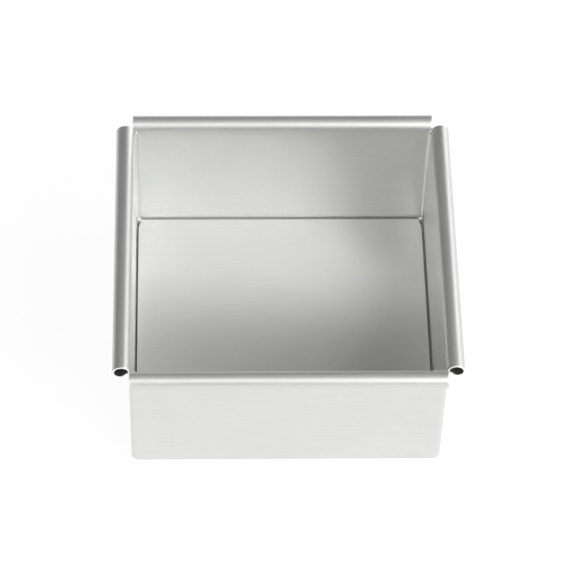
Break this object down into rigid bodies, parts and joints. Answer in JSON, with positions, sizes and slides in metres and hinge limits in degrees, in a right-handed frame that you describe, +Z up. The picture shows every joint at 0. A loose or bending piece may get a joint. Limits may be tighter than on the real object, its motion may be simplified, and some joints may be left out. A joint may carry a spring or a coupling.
{
  "type": "square cake pan",
  "caption": "Deep square loose-bottomed cake pan in satin anodised aluminium sheet: straight walls, welded corners, rolled hollow rims open at their ends, and a flat base plate that lifts out.",
  "frame": {"origin": "under the middle of the pan, on the surface that it stands on", "axes": "+Z up out of the pan, the front of the pan faces -Y, +X to the right seen from the front"},
  "size_m": [0.17, 0.17, 0.0783],
  "materials": {
    "panel_aluminium": "satin anodised sheet",
    "weld_aluminium": "dressed weld, satin anodised",
    "base_aluminium": "satin anodised flat plate"
  },
  "bodies": {
    "pan_body": {"front_panel": "panel_aluminium", "right_panel": "panel_aluminium", "back_panel": "panel_aluminium", "left_panel": "panel_aluminium", "corner_weld_back_right": "weld_aluminium", "corner_weld_back_left": "weld_aluminium", "corner_weld_front_left": "weld_aluminium", "corner_weld_front_right": "weld_aluminium"},
    "loose_base": {"loose_base": "base_aluminium"}
  },
  "joints": [
    {"name": "base_lift", "type": "slide", "parent": "pan_body", "child": "loose_base", "axis": [0, 0, 1], "range_m": [0, 0.09]}
  ]
}
